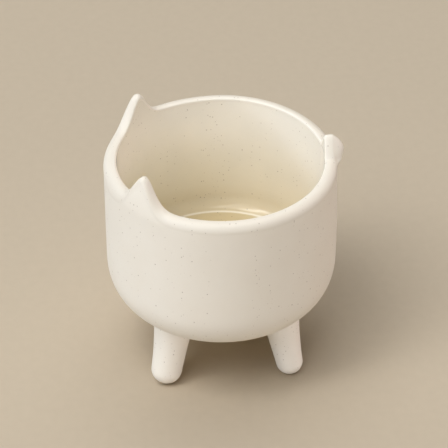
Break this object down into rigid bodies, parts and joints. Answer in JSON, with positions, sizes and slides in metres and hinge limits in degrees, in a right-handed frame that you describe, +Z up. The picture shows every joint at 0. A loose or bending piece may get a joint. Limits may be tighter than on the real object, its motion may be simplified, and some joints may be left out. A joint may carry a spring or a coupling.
{
  "type": "footed ceramic plant pot",
  "caption": "Small glazed stoneware plant pot: a round bowl with a rounded bottom on splayed peg legs, with pointed ears and a stub tail on its rim.",
  "frame": {"origin": "on the ground, straight under the axis of the bowl", "axes": "+Z up along the axis of the bowl; the ears face -Y, the tail faces +Y and +X is the pot's own left side"},
  "size_m": [0.11, 0.1133, 0.1237],
  "materials": {
    "glaze": "satin cream glaze with fine brown specks"
  },
  "bodies": {
    "root": {"bowl": "glaze", "ear_left": "glaze", "ear_right": "glaze", "tail": "glaze", "leg_front_left": "glaze", "leg_front_right": "glaze", "leg_back_left": "glaze", "leg_back_right": "glaze"}
  },
  "joints": []
}
